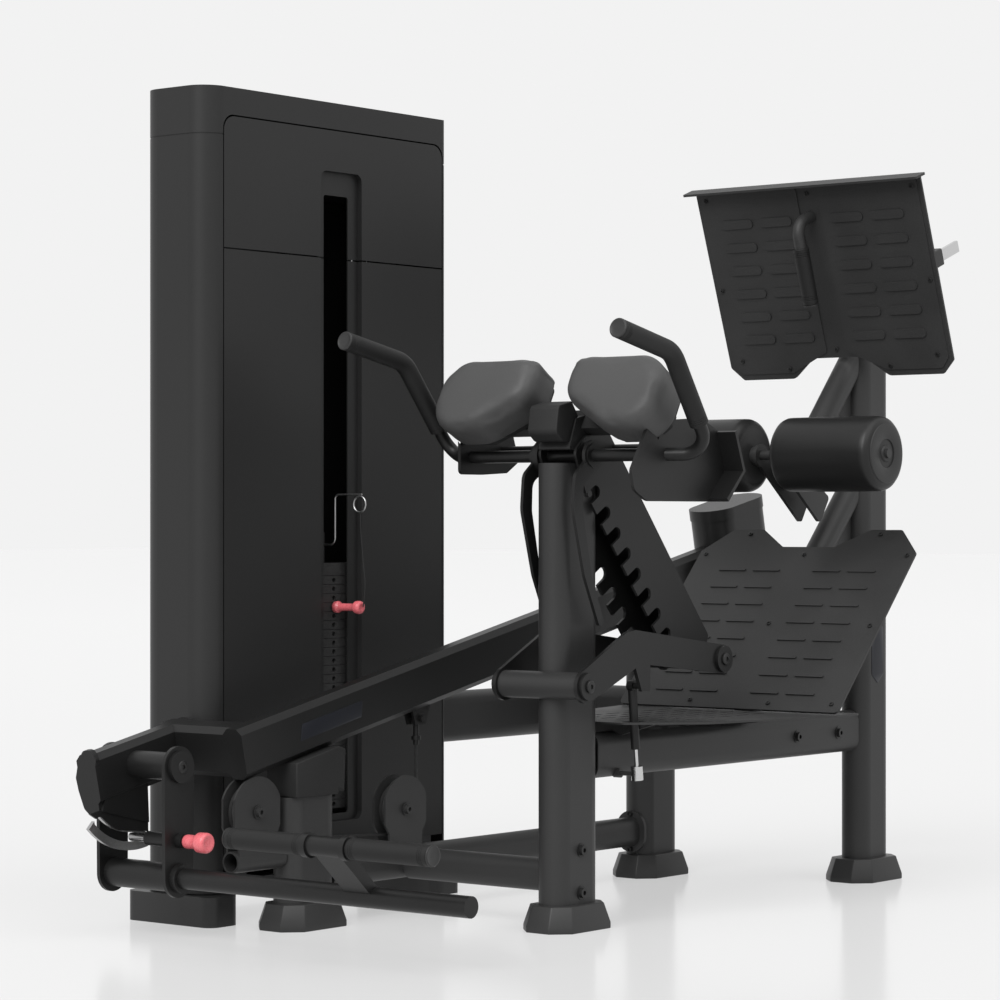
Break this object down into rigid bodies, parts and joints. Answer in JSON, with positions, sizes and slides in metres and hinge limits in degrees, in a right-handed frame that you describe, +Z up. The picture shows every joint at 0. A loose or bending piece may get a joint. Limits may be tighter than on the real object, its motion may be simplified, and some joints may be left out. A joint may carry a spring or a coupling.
{
  "type": "hip extension machine",
  "caption": "Selectorized hip extension machine: weight tower, swinging lever with low handles, adjustable hip pads, ankle rollers and tread plates on a steel frame.",
  "frame": {"origin": "on the floor under the middle of the front post, at its foot's sole", "axes": "+X runs from the head end to the foot end, +Y from the user towards the weight tower, +Z up"},
  "size_m": [2.0616, 1.1451, 1.68],
  "materials": {
    "frame_paint": "satin black powder coat with a fine grain",
    "tower_paint": "smooth satin black powder coat on sheet metal",
    "tread_paint": "satin black powder coat, pressed louvres",
    "lever_paint": "satin black powder coat",
    "pad_cover": "smooth matte grey vinyl over foam",
    "roller_cover": "smooth matte black vinyl over foam, dark end disc",
    "grip_rubber": "matte black rubber, plain end caps",
    "stop_rubber": "matte black rubber",
    "black_plastic": "matte black moulded plastic",
    "red_knob": "pinkish red moulded knob on a steel pin",
    "plate_iron": "black painted cast iron",
    "bright_rod": "polished chromed steel",
    "silver_steel": "brushed steel",
    "dark_steel": "blackened steel socket heads",
    "cable_black": "black coated steel cable"
  },
  "bodies": {
    "frame": {"post_feet": "frame_paint", "front_post": "frame_paint", "rear_post": "frame_paint", "lever_posts": "frame_paint", "side_rail": "frame_paint", "base_tubes": "frame_paint", "deck_tubes": "frame_paint", "rear_braces": "frame_paint", "lower_foot_plate": "tread_paint", "step_plate": "tread_paint", "deck_bearers": "frame_paint", "tower_shells": "tower_paint", "tower_cap": "tower_paint", "tower_front_panels": "tower_paint", "tower_frame": "tower_paint", "guide_rods": "bright_rod", "base_pulley_cheeks": "frame_paint", "stop_saddle": "stop_rubber", "plate_carrier": "frame_paint", "roller_fork": "frame_paint", "frame_bolts": "dark_steel", "run_cable": "cable_black", "drop_cable": "cable_black", "stack_cable": "cable_black", "resting_plates": "plate_iron"},
    "lever": {"lever_beam": "lever_paint", "counterweight": "lever_paint", "cable_bracket": "lever_paint", "index_sector": "silver_steel"},
    "handle_frame": {"handle_bar": "lever_paint", "bar_grips": "grip_rubber", "handle_plates": "lever_paint"},
    "pull_pin": {"pull_pin": "red_knob"},
    "stack_carriage": {"lifted_plates": "plate_iron", "head_plate": "plate_iron", "lanyard_arm": "silver_steel", "lanyard_cord": "cable_black"},
    "selector_pin": {"selector_pin": "red_knob"},
    "adjuster_arm": {"adjuster_arm": "lever_paint"},
    "pad_carriage": {"rack_plates": "lever_paint", "cross_tube": "lever_paint", "pad_brackets": "lever_paint", "near_pad": "pad_cover", "far_pad": "pad_cover", "pad_boards": "black_plastic", "nose_block": "stop_rubber", "side_handles": "lever_paint", "side_grips": "grip_rubber"},
    "gas_barrel": {"gas_barrel": "frame_paint"},
    "gas_rod": {"gas_rod": "bright_rod"},
    "upper_plate": {"upper_foot_plate": "tread_paint", "slide_bars": "bright_rod", "centre_grip": "grip_rubber"},
    "near_roller": {"near_roller": "roller_cover"},
    "far_roller": {"far_roller": "roller_cover"},
    "top_pulley": {"top_pulley": "black_plastic"},
    "lower_pulley": {"lower_pulley": "black_plastic"},
    "far_pulley": {"far_pulley": "black_plastic"}
  },
  "joints": [
    {"name": "lever_lift", "type": "hinge", "parent": "frame", "child": "lever", "pos_m": [0.875, 0.43, 0.649], "axis": [0, 1, 0], "range_deg": [0, 24], "deforming": ["drop_cable"]},
    {"name": "stack_lift", "type": "slide", "parent": "frame", "child": "stack_carriage", "axis": [0, 0, 1], "range_m": [0, 0.37], "deforming": ["stack_cable"]},
    {"name": "top_pulley_spin", "type": "hinge", "parent": "frame", "child": "top_pulley", "pos_m": [0.0382, 0.65, 1.6], "axis": [0, 1, 0], "range_deg": [0, 400]},
    {"name": "lower_pulley_spin", "type": "hinge", "parent": "frame", "child": "lower_pulley", "pos_m": [-0.00821, 0.43, 0.214], "axis": [0, 1, 0], "range_deg": [-400, 0]},
    {"name": "far_pulley_spin", "type": "hinge", "parent": "frame", "child": "far_pulley", "pos_m": [-0.454, 0.43, 0.24], "axis": [0, 1, 0], "range_deg": [-400, 0]},
    {"name": "selector_pull", "type": "slide", "parent": "stack_carriage", "child": "selector_pin", "axis": [0, -1, 0], "range_m": [0, 0.046], "deforming": ["lanyard_cord"]},
    {"name": "handle_swing", "type": "hinge", "parent": "lever", "child": "handle_frame", "pos_m": [-0.611, 0.56, 0.335], "axis": [0, 1, 0], "range_deg": [0, 42]},
    {"name": "pin_pull", "type": "slide", "parent": "handle_frame", "child": "pull_pin", "axis": [0, -1, 0], "range_m": [0, 0.013], "stiffness_N_per_m": 900},
    {"name": "arm_lift", "type": "hinge", "parent": "frame", "child": "adjuster_arm", "pos_m": [-0.073, 0, 0.486], "axis": [0, -1, 0], "range_deg": [0, 20]},
    {"name": "carriage_tilt", "type": "hinge", "parent": "adjuster_arm", "child": "pad_carriage", "pos_m": [0.389, 0, 0.524], "axis": [0, -1, 0], "range_deg": [-9.5, 0]},
    {"name": "spring_swing", "type": "hinge", "parent": "adjuster_arm", "child": "gas_barrel", "pos_m": [0.122, -0.07, 0.479], "axis": [0, -1, 0], "range_deg": [-20, 0]},
    {"name": "spring_stroke", "type": "slide", "parent": "gas_barrel", "child": "gas_rod", "axis": [0.0951, 0, -0.9955], "range_m": [0, 0.069]},
    {"name": "plate_slide", "type": "slide", "parent": "frame", "child": "upper_plate", "axis": [-0.9391, 0, -0.3437], "range_m": [0, 0.12]},
    {"name": "near_roller_spin", "type": "hinge", "parent": "frame", "child": "near_roller", "pos_m": [0.722, -0.167, 0.95], "axis": [0, 1, 0], "continuous": true},
    {"name": "far_roller_spin", "type": "hinge", "parent": "frame", "child": "far_roller", "pos_m": [0.722, 0.167, 0.95], "axis": [0, 1, 0], "continuous": true}
  ],
  "couplings": [
    {"joint": "stack_lift", "follows": "lever_lift", "m_per_rad": 0.86},
    {"joint": "top_pulley_spin", "follows": "lever_lift", "ratio": 16.165},
    {"joint": "lower_pulley_spin", "follows": "lever_lift", "ratio": -16.165},
    {"joint": "far_pulley_spin", "follows": "lever_lift", "ratio": -16.165},
    {"joint": "carriage_tilt", "follows": "arm_lift", "ratio": -0.45},
    {"joint": "spring_swing", "follows": "arm_lift", "ratio": -0.985},
    {"joint": "spring_stroke", "follows": "arm_lift", "m_per_rad": 0.1943}
  ]
}
